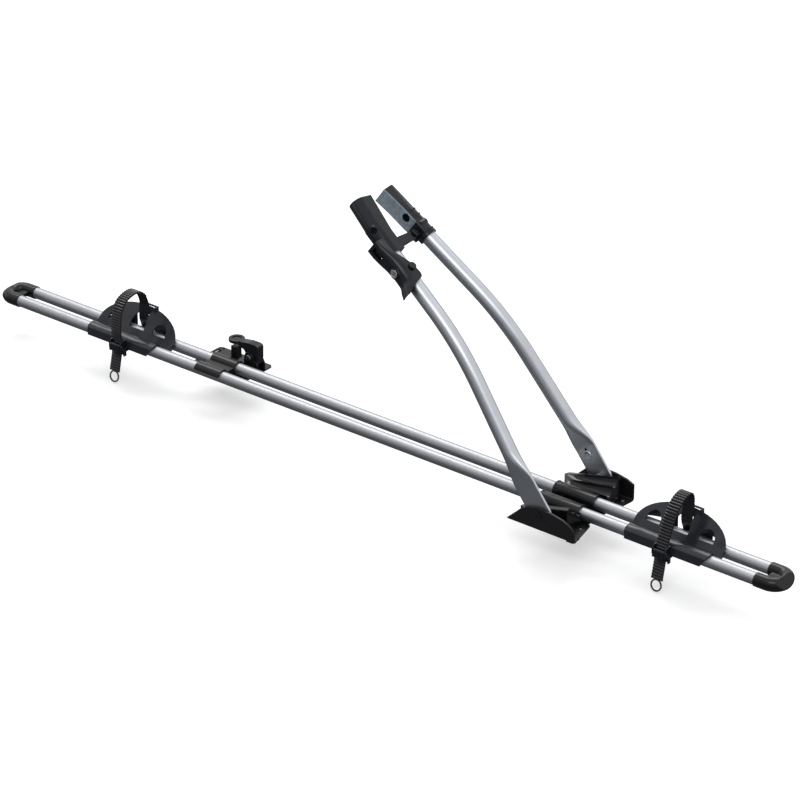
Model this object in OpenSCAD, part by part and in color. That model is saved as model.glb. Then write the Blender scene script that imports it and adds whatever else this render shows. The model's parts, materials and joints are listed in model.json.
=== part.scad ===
// Roof mounted bike carrier: two parallel tubes on a front and a rear foot, a pair of
// folding arms with a frame clamp, and two wheel trays with ratchet straps.
// +X runs along the tubes to the front, +Y to the far side, +Z up.
// The origin is on the roof bar, under the pivots of the arms.

/* [Tubes] */
// Length of the carrier over its end caps
carrier_len = 1470; // [1300:2:1600]
// Distance from the arm pivots back to the middle of the tubes
pivot_to_mid = 364.7; // [300:0.1:420]
// Outer diameter of the two tubes
rail_d = 18; // [17:0.5:18]
// Wall of the two tubes
rail_wall = 1.5; // [1:0.1:2]
// Distance between the two tube axes
rail_gap = 36.5; // [36:0.5:37]
// Height of the tube axes over the roof bar
rail_z = 16; // [16:0.5:17]
// Length of an end cap
cap_len = 42.5; // [42:0.5:46]

/* [Front foot] */
// Height of the arm pivot over the roof bar
pivot_z = 26; // [25:0.5:27]
// Distance of each arm blade from the middle plane
arm_y = 71.5; // [71:0.5:72]
// Thickness of the steel foot plate
plate_t = 3; // [2.5:0.5:3]
// Length of the tube saddles on the front foot
saddle_len = 71; // [66:1:76]
// Outer radius of the saddles
saddle_r = 12; // [11.5:0.5:12]
// Spacing of the roof bar bolts along the tubes
bar_bolt_x = 92; // [92:1:93]
// Spacing of the roof bar bolts across the tubes
bar_bolt_y = 76; // [74:1:78]

/* [Arms] */
// Diameter of the arm tubes
arm_d = 23; // [22.5:0.5:23]
// Angle of the lower, straight part above the tubes
arm_low_ang = 52.06; // [45:0.1:60]
// Angle of the upper part above the tubes
arm_up_ang = 36.3; // [30:0.1:40]
// Length of the lower part, up to the bend's corner
arm_low_len = 265.6; // [240:0.1:280]
// Length of the upper part, from the bend's corner to the jaw tip
arm_up_len = 256; // [240:1:270]
// Radius of the bend
arm_bend_r = 455; // [300:5:500]
// Lean of each arm towards the middle plane
arm_lean_ang = 4.94; // [4.5:0.02:5]
// Width of the flattened blade at the foot
blade_w = 38; // [36:1:38]
// Thickness of the flattened blade
blade_t = 4.5; // [4:0.1:4.5]

/* [Frame clamp] */
// Width of the jaws and their pads
jaw_w = 27.6; // [27:0.2:29]
// Length of the jaws
jaw_len = 96; // [96:1:98]
// Distance of the pad's bed from the arm axis
jaw_flat = 10.4; // [10:0.1:11]
// Thickness of the rubber pads
pad_t = 2; // [1.8:0.1:2.2]
// Distance of the rack from the jaw tips
rack_s = 82; // [81.5:0.5:82.5]
// Thickness of the rack
rack_t = 8; // [6:0.5:8]
// Distance of the lever hinge from the jaw tips
lever_s = 127; // [126:1:128]

/* [Wheel trays] */
// Position of the front tray
front_tray_x = 180.3; // [170:0.1:200]
// Position of the rear tray
rear_tray_x = -837.7; // [-860:0.1:-800]
// Slope of the tray's wing
wing_ang = 50; // [50:1:52]
// Half length of the wing
wing_half = 76; // [72:1:76]
// Height of the wing along its slope
wing_h = 54; // [50:1:56]
// Width of the ratchet straps
strap_w = 19; // [18:0.5:19]
// Pitch of the teeth on the straps
tooth_pitch = 4.4; // [3.6:0.1:5]

/* [Rear foot] */
// Position of the rear saddle's middle
rear_foot_x = -657; // [-670:1:-640]
// Position of the clamp lever's pivot
clamp_x = -638.7; // [-639:0.1:-638]

/* [Hidden] */
$fn = 48;
rail_y = rail_gap / 2;
rail_r = rail_d / 2;
slide_gap = 0.3;
seat_gap = 0.05;
run_gap = 0.08;
rail_end = carrier_len / 2 - 29;
foot_x = -2;
saddle_start = -39.7;
saddle_screws = [-26, 18];
plate_top = -11;
tube_r = arm_d / 2;
crease = 48;
round_from = 100;
bend_ang = arm_low_ang - arm_up_ang;
bend_tan = arm_bend_r * tan(bend_ang / 2);
neck_s = 71;
neck_r = 8;
tube_end_s = 40;
bolt_r = 4;
jaw_kink_s = 45;
sleeve_flat = 13.2;
far_tip_s = 4.5;
pad_end_s = 70;
jaw_lean = 6;
jaw_wall_d = 15.2;
lock_s = 122;
cheek_t = 2.4;
cheek_out = 15.5;
wing_root_z = -1;
window_base = 14;
strap_x = 1;
strap_base_t = 1.6;
tooth_h = 1.1;
strap_slot_h = 27.5;
buckle_y = -34.4;
buckle_pin_y = -40.6;
buckle_pin_z = 1;
hook_back = 32.8;

// Height and distance of the jaw tip, seen square to the middle plane
tip_along = crease + (arm_low_len + arm_up_len * cos(bend_ang) - crease) * cos(arm_lean_ang);
tip_down = arm_up_len * sin(bend_ang);
tip_x = -tip_along * cos(arm_low_ang) - tip_down * sin(arm_low_ang);
tip_z = pivot_z + tip_along * sin(arm_low_ang) - tip_down * cos(arm_low_ang);

// Round bar along X from x0 to x1
module bar_x(r, x0, x1) {
    translate([x0, 0, 0]) rotate([0, 90, 0]) cylinder(r = r, h = x1 - x0);
}

// Round bar along Y from y0 to y1
module bar_y(r, y0, y1) {
    translate([0, y0, 0]) rotate([-90, 0, 0]) cylinder(r = r, h = y1 - y0);
}

// Rectangle with round corners, from its lowest corner
module round_rect(w, h, r) {
    translate([r, 0]) square([w - 2 * r, h]);
    translate([0, r]) square([w, h - 2 * r]);
    for (x = [r, w - r], y = [r, h - r]) translate([x, y]) circle(r = r);
}

// Puts a side view drawn in X and Z at its distance, with its thickness along +Y
module side_view(y0, t) {
    translate([0, y0 + t, 0]) rotate([90, 0, 0]) linear_extrude(t) children();
}

// Puts a cross section drawn in Y and Z at x0, with its length along +X
module cross_view(x0, len) {
    translate([x0, 0, 0]) rotate([90, 0, 90]) linear_extrude(len) children();
}

// Both tubes, for the spaces that they need in other parts
module rail_space(r, x0, x1) {
    for (y = [-rail_y, rail_y]) translate([0, y, rail_z]) bar_x(r, x0, x1);
}

module rail(side) {
    mid = -pivot_to_mid;
    color("silver") translate([0, side * rail_y, rail_z]) difference() {
        bar_x(rail_r, mid - rail_end, mid + rail_end);
        bar_x(rail_r - rail_wall, mid - rail_end - 1, mid + rail_end + 1);
    }
}

// U-shaped cap over both tube ends, with a bevel on its nose
module end_cap() {
    r = 10.4;
    bend_x = cap_len + 3.5 - r - rail_y;
    color("#1c1d20") difference() {
        union() {
            for (y = [-rail_y, rail_y]) translate([0, y, 0]) bar_x(r, 0, bend_x);
            translate([bend_x, 0, 0]) rotate([0, 0, -90])
                rotate_extrude(angle = 180) translate([rail_y, 0]) circle(r = r);
            translate([9, -rail_y, -6]) cube([bend_x - 4, 2 * rail_y, 11]);
        }
        for (y = [-rail_y, rail_y])
            translate([0, y, 0]) bar_x(rail_r + seat_gap, -1, bend_x - 3.2);
        translate([cap_len - 1.4, 0, -5]) rotate([0, -24, 0]) translate([0, -30, -30])
            cube([30, 60, 60]);
    }
}

module cap_at(dir) {
    translate([-pivot_to_mid, 0, rail_z]) mirror([dir < 0 ? 1 : 0, 0, 0])
        translate([carrier_len / 2 - cap_len, 0, 0]) end_cap();
}

// Side view of the foot plate: a long slope at the back, a round shoulder at the front
module foot_side_2d() {
    polygon([
        [-55.7, -14], [-55.7, -11], [-32, 11.5], [-28.5, 14], [-18, 18.5], [-3, 22],
        [22, 21], [41, 17.5], [53.5, 12], [58.5, 8], [61, 3], [62.3, -4], [62.3, -14]
    ]);
}

// Plan of the foot plate: its front edge runs back towards the tubes, further on the far side
module foot_plan_2d() {
    polygon([[-60, -90], [62.3, -90], [62.3, -77], [49.5, -23], [44, -23], [44, 23],
        [47, 23], [52.5, 77], [52.5, 90], [-60, 90]]);
}

// Folded steel plate: a flat base with a cheek at each side that holds an arm. The far cheek is
// relieved behind the pivot, where the arm comes down while it is spread
module front_foot_plate() {
    half = arm_y + blade_t / 2 + 1.75 + plate_t;
    low = plate_top - plate_t;
    color("#202124") translate([0, 0, rail_z]) difference() {
        intersection() {
            cross_view(-60, 130) difference() {
                translate([-half, low]) round_rect(2 * half, 70, 5);
                translate([plate_t - half, low + plate_t])
                    round_rect(2 * (half - plate_t), 70, 2);
            }
            union() {
                side_view(-half - 1, half + 1) foot_side_2d();
                intersection() {
                    side_view(0, half + 1) foot_side_2d();
                    translate([-70, 0, low - 1]) cube([122.5, half + 2, 60]);
                }
            }
            translate([0, 0, low - 1]) linear_extrude(60) foot_plan_2d();
        }
        translate([-66, -28, low - 1]) cube([20, 56, 12]);
        translate([0, half - plate_t, plate_top + 3]) linear_extrude(60)
            polygon([[-22, -0.2], [-22, 0], [-33, 1.4], [-61, 1.4], [-61, -0.2]]);
        translate([0, 0, pivot_z - rail_z]) bar_y(bolt_r + seat_gap, -half - 1, half + 1);
        for (x = [-1, 1], y = [-1, 1])
            translate([foot_x + x * bar_bolt_x / 2, y * bar_bolt_y / 2, low - 1])
                cylinder(r = 3.2, h = plate_t + 2);
        for (x = saddle_screws) translate([x, 0, low - 1]) cylinder(r = 2.6, h = plate_t + 2);
    }
}

// Two tube sleeves on one flat web, cut flat on the plate
module front_saddle() {
    x0 = saddle_start;
    x1 = x0 + saddle_len;
    color("#1b1c1f") difference() {
        translate([0, 0, rail_z]) intersection() {
            union() {
                for (y = [-rail_y, rail_y]) translate([0, y, 0]) {
                    bar_x(saddle_r, x0, x1);
                    for (x = [x0, x1 - 3]) bar_x(saddle_r + 0.6, x, x + 3);
                }
                translate([x0, -rail_y, plate_top]) cube([saddle_len, rail_gap, 6]);
                for (s = [-1, 1]) translate([x0 + 6, s * 28.5 - 2.5, plate_top])
                    cube([saddle_len - 12, 5, 8]);
            }
            translate([x0 - 1, -40, plate_top]) cube([saddle_len + 2, 80, 40]);
        }
        rail_space(rail_r + seat_gap, x0 - 1, x1 + 1);
        for (x = saddle_screws) translate([x, 0, 0]) cylinder(r = 2.6, h = 20);
    }
}

// Moulded wedge that props an arm blade, with ribs that fan out of its nose
module gusset(side) {
    end_x = 39;
    nose = [side < 0 ? -42 : -50, 57];
    color("#161719") translate([0, 0, rail_z]) mirror([0, side < 0 ? 1 : 0, 0]) difference() {
        union() {
            hull() {
                translate([nose[0], nose[1], plate_top]) cylinder(r = 5, h = 14.5, $fn = 24);
                translate([-34, 36, plate_top]) cylinder(r = 4.5, h = 11, $fn = 24);
                cross_view(end_x - 1, 1)
                    polygon([[31.5, -11], [64, -11], [64, 26.5], [58, 26.5], [31.5, 7]]);
            }
            for (top = [[60.5, 28], [47, 19], [33.2, 9]]) hull() {
                translate([nose[0] + 2, nose[1], 2.5]) sphere(r = 2.4, $fn = 16);
                translate([end_x - 1.8, top[0], top[1] - 1.4]) sphere(r = 1.8, $fn = 16);
                translate([end_x - 1.8, top[0], top[1] - 6]) sphere(r = 1.8, $fn = 16);
            }
        }
        translate([0, 0, pivot_z - rail_z]) bar_y(9, 57.5, 70);
    }
}

// Small rivets at the ends of the gussets and the screws of the saddle
module foot_rivets() {
    color("#4c4e52") translate([0, 0, rail_z]) {
        for (x = saddle_screws) {
            translate([x, 0, plate_top - plate_t]) cylinder(r = 2.55, h = 9);
            translate([x, 0, plate_top + 6]) cylinder(r = 4.2, h = 2);
        }
        for (s = [-1, 1]) translate([44, s * 62, plate_top]) cylinder(r = 2.6, h = 1.8);
    }
}

// Rubber between the foot and the roof bar, with a lip at each front corner
module front_bar_pad() {
    h = rail_z + plate_top - plate_t;
    color("#101112") {
        translate([-42, -70, 0]) cube([82, 140, h]);
        translate([46, -75, 0]) cube([12, 16, h]);
        translate([39, -71, 0]) cube([8, 8, h]);
    }
}

// Socket head bolt through the cheek and the arm blade
module pivot_bolt(side) {
    out = arm_y + blade_t / 2 + 1.75 + plate_t;
    color("#2a2b2e") translate([0, 0, pivot_z]) mirror([0, side < 0 ? 1 : 0, 0]) difference() {
        union() {
            bar_y(bolt_r, 59, out);
            bar_y(5.4, out, out + 2.2);
        }
        translate([0, out + 0.8, 0]) rotate([-90, 0, 0]) cylinder(r = 3.2, h = 3, $fn = 6);
    }
}

module pivot_nut(side) {
    face = arm_y - blade_t / 2 - 0.9;
    color("#8d9094") translate([0, 0, pivot_z]) mirror([0, side < 0 ? 1 : 0, 0]) difference() {
        translate([0, face - 5.6, 0]) rotate([-90, 0, 0]) cylinder(r = 7.2, h = 5.6, $fn = 6);
        bar_y(bolt_r, face - 7, face + 1);
    }
}

// Frame of an arm's blade: +X up along the blade, +Z on its upper side
module arm_low(side) {
    translate([0, side * arm_y, pivot_z]) rotate([0, -arm_low_ang, 180]) children();
}

// The same frame, leaned in at the crease
module arm_leaned(side) {
    arm_low(side) translate([crease, 0, 0]) rotate([0, 0, side * arm_lean_ang])
        translate([-crease, 0, 0]) children();
}

// Frame at a jaw tip: -X down along the arm, +Y away from the middle plane
module arm_head(side) {
    arm_leaned(side) translate([arm_low_len, 0, 0]) rotate([0, bend_ang, 0])
        translate([arm_up_len, 0, 0]) mirror([0, side > 0 ? 1 : 0, 0]) children();
}

// Frame on the middle plane, beside the point s down the arms: +Y to the near side
module mid_frame(s) {
    translate([tip_x + s * cos(arm_up_ang), 0, tip_z - s * sin(arm_up_ang)])
        rotate([0, -arm_up_ang, 180]) children();
}

// Outline of the tube where it is pressed flat: f is 0 at the crease and 1 where it is round
function press(f) = (1 - cos(180 * f)) / 2;
function signed_pow(v, p) = sign(v) * pow(abs(v), p);
function press_ring(f, count) =
    let (
        half_w = blade_w / 2 + (tube_r - blade_w / 2) * press(f),
        half_t = blade_t / 2 + (tube_r - blade_t / 2) * press(pow(f, 0.8)),
        p = 0.3 + 0.7 * press(pow(f, 0.7))
    )
    [for (i = [0:count - 1]) let (a = 360 * i / count)
        [crease - 0.5 + f * (round_from - crease + 0.5),
            half_t * signed_pow(cos(a), p), half_w * signed_pow(sin(a), p)]];

// Loft through equal rings of points, closed at both ends
module ring_loft(rings) {
    n = len(rings[0]);
    last = len(rings) - 1;
    sides = [for (k = [0:last - 1], i = [0:n - 1]) let (j = (i + 1) % n)
        each [[k * n + i, (k + 1) * n + i, k * n + j],
            [k * n + j, (k + 1) * n + i, (k + 1) * n + j]]];
    start = [[for (i = [0:n - 1]) i]];
    end = [[for (i = [0:n - 1]) last * n + n - 1 - i]];
    polyhedron([for (ring = rings) each ring], concat(sides, start, end));
}

// Ring of the round tube at a bend angle so far, r from the axis, len past the last bend
function tube_ring(ang, r, len, count) =
    let (
        x = arm_low_len - bend_tan + arm_bend_r * sin(ang) + len * cos(ang),
        z = arm_bend_r * (cos(ang) - 1) - len * sin(ang)
    )
    [for (i = [0:count - 1]) let (a = 360 * i / count)
        [x + r * sin(a) * sin(ang), r * cos(a), z + r * sin(a) * cos(ang)]];

// Rings round the wide bend and to the necked end of the tube; play keeps the bore inside
function bend_rings(r, neck, past, count) = let (up = arm_up_len - bend_tan) concat(
    [for (k = [0:8]) tube_ring(bend_ang * k / 8, r, 0, count)],
    [tube_ring(bend_ang, r, up - neck_s - 2, count), tube_ring(bend_ang, neck, up - neck_s, count),
        tube_ring(bend_ang, neck, up - tube_end_s + past, count)]);

// Arm: flattened blade, pressed transition, straight tube, wide bend, straight tube
module arm(side) {
    sides = 32;
    wall = 1.5;
    bore_start = [for (p = tube_ring(0, tube_r - wall, 0, sides)) [round_from + 6, p[1], p[2]]];
    hole = bolt_r + (side < 0 ? run_gap : 0.4);
    color("#c9cdd2") difference() {
        union() {
            arm_low(side) {
                translate([0, -blade_t / 2, -blade_w / 2]) cube([crease, blade_t, blade_w]);
                bar_y(blade_w / 2, -blade_t / 2, blade_t / 2);
            }
            arm_leaned(side) ring_loft(concat([for (k = [0:12]) press_ring(k / 12, sides)],
                bend_rings(tube_r, neck_r, 0, sides)));
        }
        arm_low(side) bar_y(hole, -blade_t, blade_t);
        arm_leaned(side) ring_loft(concat([bore_start],
            bend_rings(tube_r - wall, neck_r - wall, 1, sides)));
        if (side < 0) {
            rack_slot();
            arm_head(side) translate([-lever_s, 0, -20]) cylinder(r = 3, h = 40);
        }
        screw_frame(side) bar_y(2.5 + seat_gap, -3, 20);
    }
}

// Passage of the rack through the near arm, with the play that the far arm's swing needs
module rack_slot() {
    mid_frame(rack_s)
        translate([-10.4, 14, -rack_t / 2 - 0.8]) cube([21.2, 46, rack_t + 1.6]);
}

// Section of a jaw in Y and Z: round outside, straight walls to a flat inner side
module jaw_2d(r, flat, wall) {
    intersection() {
        union() {
            circle(r = r);
            translate([-30, -wall]) square([30, 2 * wall]);
        }
        translate([-flat, -20]) square([flat + 20, 40]);
    }
}

// Frame of a jaw's screw: +Y from the arm axis to the screw's head
module screw_frame(side) {
    arm_head(side) translate([side < 0 ? -53 : -55, 0, 0]) rotate([side < 0 ? 35 : 157, 0, 0])
        children();
}

// The tube's bore in a jaw
module jaw_bores() {
    bar_x(tube_r + seat_gap, -jaw_len - 1, -neck_s);
    bar_x(neck_r + seat_gap, -neck_s - 1, -tube_end_s);
}

// Hole and counterbore of a jaw's screw
module screw_bores(side, r) {
    screw_frame(side) {
        bar_y(2.5 + seat_gap, 2, 12);
        bar_y(r, 8.8, 24);
    }
}

// Ribs across the back of a jaw
module jaw_ribs() {
    for (s = [52, 62, 89]) translate([-s - 0.9, 0, 0]) intersection() {
        cross_view(0, 1.8) circle(r = jaw_w / 2 + 1.4);
        translate([-1, -7, 8]) cube([6, 16, 12]);
    }
    translate([-75.5, 0, 0]) intersection() {
        translate([-5, -7, 9]) cube([10, 14, 9]);
        translate([0, 0, 9.8]) bar_y(5.4, -10, 10);
    }
}

// Frame of the near jaw's upper half, which leans in: +X to the tip
module near_lean() {
    arm_head(-1) translate([-jaw_kink_s - 4, 0, 0]) rotate([0, 0, -jaw_lean]) children();
}

// Near jaw: a lower sleeve round the tube and an upper half that leans in to the frame
module jaw_near() {
    tip = jaw_kink_s + 4;
    color("#222327") difference() {
        union() {
            arm_head(-1) difference() {
                cross_view(-jaw_len, jaw_len - jaw_kink_s)
                    jaw_2d(jaw_w / 2 + 0.5, 20, jaw_w / 2 + 0.3);
                translate([0, 0, -20]) linear_extrude(40) polygon([[-jaw_len - 1, -30],
                    [-jaw_len - 1, -sleeve_flat], [-62, -sleeve_flat], [-44, -15.6], [-44, -30]]);
            }
            near_lean() difference() {
                cross_view(0, tip) jaw_2d(jaw_w / 2, 20, jaw_w / 2);
                translate([0, 0, -20]) linear_extrude(40) polygon([[-1, -30],
                    [-1, -jaw_wall_d], [tip + 1, -jaw_wall_d - 1.4], [tip + 1, -30]]);
            }
        }
        arm_head(-1) jaw_bores();
        screw_bores(-1, 5);
        near_lean() translate([0, 0, -11]) linear_extrude(22) polygon([[3, -30],
            [3, -jaw_wall_d + pad_t], [tip - 2, -jaw_wall_d + pad_t - 1.4], [tip - 2, -30]]);
        rack_slot();
    }
}

// Grey rubber pad in the bed of the near jaw
module pad_near() {
    tip = jaw_kink_s + 4;
    deep = jaw_wall_d - pad_t;
    color("#9fa6aa") near_lean() translate([0, 0, -11]) linear_extrude(22)
        polygon([[3, -deep], [tip - 2, -deep - 1.4], [tip - 2, -deep - pad_t - 1],
            [3, -deep - pad_t + 0.4]]);
}

// Bed of the far jaw's pad, hollowed along its length to hold round frame tubes
function bed_depth(s) = jaw_flat + 2.6 * pow(abs(s - 52) / 48, 2) * (s < 52 ? 1 : 0.9);
bed_steps = [for (i = [0:10]) far_tip_s + (pad_end_s - far_tip_s) * i / 10];

// Far jaw: straight, ribbed on its back, with a fork that carries the rack
module jaw_far() {
    color("#1e1f22") difference() {
        union() {
            arm_head(1) difference() {
                union() {
                    cross_view(7 - jaw_len, jaw_len - 7 - far_tip_s)
                        jaw_2d(jaw_w / 2, sleeve_flat, jaw_w / 2);
                    jaw_ribs();
                    bar_x(14.6, -jaw_len, -jaw_len + 8);
                }
                jaw_bores();
                translate([0, 0, -20]) linear_extrude(40) polygon(concat(
                    [[-far_tip_s + 1, -30], [-pad_end_s - 1, -30]],
                    [for (i = [10:-1:0]) [-bed_steps[i] - (i == 10 ? 1 : 0) + (i == 0 ? 1 : 0),
                        -bed_depth(bed_steps[i])]]));
            }
            mid_frame(rack_s) for (z = [-rack_t / 2 - 3.4, rack_t / 2 + 0.4])
                translate([0, 0, z]) {
                    translate([0, -20, 0]) cylinder(r = 6, h = 3);
                    translate([-6, -27, 0]) cube([12, 7, 3]);
                }
        }
        mid_frame(rack_s) translate([0, -20, -10]) cylinder(r = 2.5, h = 20);
        mid_frame(rack_s) translate([0, -20, -rack_t / 2 - slide_gap])
            cylinder(r = 6 + slide_gap, h = rack_t + 2 * slide_gap);
        screw_bores(1, 6.4);
    }
}

// Grey rubber pad that lines the hollow bed of the far jaw
module pad_far() {
    color("#9fa6aa") difference() {
        arm_head(1) translate([0, 0, -jaw_w / 2]) linear_extrude(jaw_w) polygon(concat(
            [for (s = bed_steps) [-s, -bed_depth(s)]],
            [for (i = [10:-1:0]) [-bed_steps[i],
                -bed_depth(bed_steps[i]) - (i == 10 ? pad_t * 0.4 : pad_t)]]));
        screw_frame(1) bar_y(6.4, 4, 24);
    }
}

// Screw that holds a jaw on its tube, with a hex socket in its head
module jaw_screw(side) {
    color("#1a1a1c") screw_frame(side) difference() {
        union() {
            bar_y(2.5, -2, 9);
            bar_y(4.6, 8.8, 11.4);
        }
        translate([0, 9.8, 0]) rotate([-90, 0, 0]) cylinder(r = 2.3, h = 3, $fn = 6);
    }
}

module lever_pin() {
    color("#2c2d30") arm_head(-1) translate([-lever_s, 0, 0]) {
        translate([0, 0, -18.4]) cylinder(r = 3, h = 35);
        translate([0, 0, cheek_out + 0.3]) cylinder(r = 5.8, h = 3);
        translate([0, 0, -cheek_out - 2.8]) cylinder(r = 5, h = 2.5);
    }
}

module rack_pin() {
    color("#8d9094") mid_frame(rack_s)
        translate([0, -20, -rack_t / 2 - 4.4]) cylinder(r = 2.5, h = rack_t + 8.8);
}

// Flat rack that ties the jaws together, with teeth where the lever's pawl grips it
module clamp_rack() {
    near = 60;
    teeth = 12;
    pitch = 3;
    color("#26272a") mid_frame(rack_s) translate([0, 0, -rack_t / 2]) difference() {
        union() {
            linear_extrude(rack_t) polygon(concat(
                [[6, -20], [6.6, -4], [7.6, 12], [8, near - 2], [6, near]],
                [for (i = [0:teeth - 1], k = [0, 1])
                    [k == 0 ? -8 : -6.6, near - i * pitch - k * pitch * 0.5]],
                [[-8, near - teeth * pitch], [-7.6, 12], [-6.6, -4], [-6, -20]]));
            translate([0, -20, 0]) cylinder(r = 6, h = rack_t);
        }
        translate([0, -20, -1]) cylinder(r = 2.5 + run_gap, h = rack_t + 2);
    }
}

// Stations of the tension lever: distance down the arm, height of its roof over the arm axis,
// half width, rounding of the roof, and height of the cheeks' inner edge
lever_stations = [
    [71, 26.5, 13, 3, 13], [84, 26.5, 14, 6, 12.5], [97, 24.8, 15, 9.5, 9.5],
    [110, 22.6, 15.5, 12.5, 2.6], [122, 21, 15.5, 13, -4], [134, 20.6, 15.5, 13, -6.5],
    [143, 21.8, 15.3, 13, -7], [147.5, 24, 15, 12, -3], [150.5, 26, 14.5, 11, 8],
    [156, 28.8, 12, 7.5, 20], [161.5, 32, 8.5, 3, 28]
];

// Arch in Y and Z: from one cheek's edge over the roof to the other's
function arch(st, t) = let (roof = st[1] - t, w = st[2] - t, r = max(st[3] - t, 0.6))
    concat([[st[4], w]],
        [for (a = [0:15:90]) [roof - r + r * sin(a), w - r + r * cos(a)]],
        [for (a = [90:-15:0]) [roof - r + r * sin(a), -w + r - r * cos(a)]],
        [[st[4], -w]]);

function arch_ring(st) = [for (p = concat(arch(st, 0), [for (i = [15:-1:0]) arch(st, cheek_t)[i]]))
    [-st[0], p[0], p[1]]];

// Arched lever that straddles the near arm, with a slot for the rack and a flared tail
module tension_lever() {
    color("#1d1e21") difference() {
        arm_head(-1) union() {
            ring_loft([for (st = lever_stations) arch_ring(st)]);
            translate([-lock_s, 0, 0]) bar_y(8, 17, 22.6);
            for (i = [0:8], z = [-1, 1]) translate([-78 - 3.6 * i, 15 - 0.5 * i,
                z * (13.2 + 0.12 * i) - 0.8]) cube([1.3, 6, 1.6]);
        }
        arm_head(-1) {
            translate([-lever_s, 0, -20]) cylinder(r = 3 + run_gap, h = 40);
            translate([-lock_s, 0, 0]) bar_y(6.3 + run_gap, 15, 28);
            translate([-98, 14.8, -12.75]) cylinder(r = 1.6 + run_gap, h = 25.5);
        }
        mid_frame(rack_s) translate([-10.4, 54, -rack_t / 2 - 1.2])
            cube([20.8, 30, rack_t + 2.4]);
    }
}

// Pawl on its cross pin, between the cheeks of the lever
module lever_pawl() {
    color("#3a3b3f") arm_head(-1) translate([-98, 14.8, 0]) {
        translate([0, 0, -3.9]) linear_extrude(7.8)
            polygon([[-3, -2.2], [1, -2.2], [2, 0.2], [4, 0.8], [4, 2.8], [0, 4.6], [-3.6, 3]]);
        translate([0, 0, -12.7]) cylinder(r = 1.6, h = 25.4);
    }
}

module lock_ring() {
    color("#d5d7da") arm_head(-1) translate([-lock_s, 0, 0]) difference() {
        bar_y(6.3, 16.4, 23.6);
        bar_y(4.1 + run_gap, 16, 27);
    }
}

module lock_core() {
    color("#b9bcc0") arm_head(-1) translate([-lock_s, 0, 0]) difference() {
        bar_y(4.1, 16.4, 23.3);
        translate([-0.5, 20, -2.4]) cube([1, 6, 4.8]);
    }
}

// Outline of the wing: straight foot, elliptic back
function wing_edge(inset) = [for (a = [0:7.5:180])
    [(wing_half - inset) * cos(a), 10 + (wing_h - 10 - inset) * sin(a)]];

// Window with a flat foot and an arched top, from u0 to u1
module window_2d(u0, u1, top) {
    mid = (u0 + u1) / 2;
    half = (u1 - u0) / 2;
    polygon(concat([[u0, window_base], [u1, window_base]],
        [for (a = [0:15:180]) [mid + half * cos(a), window_base + 3
            + (top - window_base - 3) * sin(a)]]));
}

// Sloped wing over the far tube, with three windows and a flange turned down at its rim
module tray_wing() {
    translate([0, 0, wing_root_z]) {
        rotate([wing_ang, 0, 0]) translate([0, 0, -3]) linear_extrude(3) difference() {
            union() {
                polygon(concat(wing_edge(0), [[-wing_half, 3], [-wing_half + 4, -1.5],
                    [60, -1.5], [64, -5], [wing_half, -5], [wing_half + 1, 2]]));
            }
            window_2d(-60, -35, 32.5);
            window_2d(30, 56, 32.5);
            window_2d(-17, 13, 45);
            translate([strap_x - strap_w / 2 - slide_gap, window_base])
                square([strap_w + 2 * slide_gap, strap_slot_h]);
        }
        difference() {
            linear_extrude(60) difference() {
                polygon([for (p = wing_edge(0)) [p[0], p[1] * cos(wing_ang)]]);
                polygon([for (p = wing_edge(2.4)) [p[0], p[1] * cos(wing_ang) - 0.8]]);
            }
            rotate([wing_ang, 0, 0]) translate([-100, -40, -0.01]) cube([200, 140, 90]);
            translate([-100, -20, -20]) cube([200, 50, 31.5]);
            translate([-20, 0, 0]) cube([36, 60, 60]);
        }
    }
}

// Saddle over the near tube, in Y and Z
module tray_saddle_2d() {
    polygon([[-29, -7], [-29, 6.5], [-26.6, 9.4], [-22, 11.7], [-18, 12.2], [-13.6, 11.2],
        [-10.6, 9], [-3.6, 1.2], [0, -1], [2.3, -3.2], [1, -5], [-2, -9], [-8.6, -9],
        [-8.6, 0], [-27.6, 0], [-27.8, -7]]);
}

// Wheel tray: saddle, wing, and a keeper for the strap behind the wing's crest
module wheel_tray(saddle_end) {
    crest_y = wing_h * cos(wing_ang);
    crest_z = wing_h * sin(wing_ang) + wing_root_z;
    color("#24262a") difference() {
        union() {
            difference() {
                cross_view(-68, saddle_end + 76) tray_saddle_2d();
                translate([saddle_end, -40, 2]) rotate([0, 32, 0]) translate([0, 0, -30])
                    cube([30, 34, 60]);
            }
            tray_wing();
            translate([-2, crest_y + 1.4, crest_z - 0.6]) cube([22, 2.4, 2.4]);
            for (x = [-2, 17.6])
                translate([x, crest_y - 6, crest_z - 6]) cube([2.4, 9.8, 7.8]);
        }
        translate([0, -rail_y, 0]) bar_x(rail_r + slide_gap, -90, 90);
        translate([0, rail_y, 0]) bar_x(rail_r + slide_gap, -90, 90);
    }
}

// Smooth curve through points: three equal steps blend the neighbours' directions
function curve_point(a, b, c, d, t) = 0.5 * ((2 * b) + (c - a) * t
    + (2 * a - 5 * b + 4 * c - d) * t * t + (3 * b - a - 3 * c + d) * t * t * t);
function curve(pts, steps) = let (n = len(pts)) [for (i = [0:n - 2], k = [0:steps - 1])
    curve_point(pts[max(i - 1, 0)], pts[i], pts[i + 1], pts[min(i + 2, n - 1)], k / steps),
    pts[n - 1]];

// Distance along a line of points, up to each of them
function run_length(pts) =
    [for (i = 0, s = 0; i < len(pts); s = s + (i + 1 < len(pts) ? norm(pts[i + 1] - pts[i]) : 0),
        i = i + 1) s];

// Point at a distance along a line of points
function along(pts, run, s) = [lookup(s, [for (i = [0:len(pts) - 1]) [run[i], pts[i][0]]]),
    lookup(s, [for (i = [0:len(pts) - 1]) [run[i], pts[i][1]]])];

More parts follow.
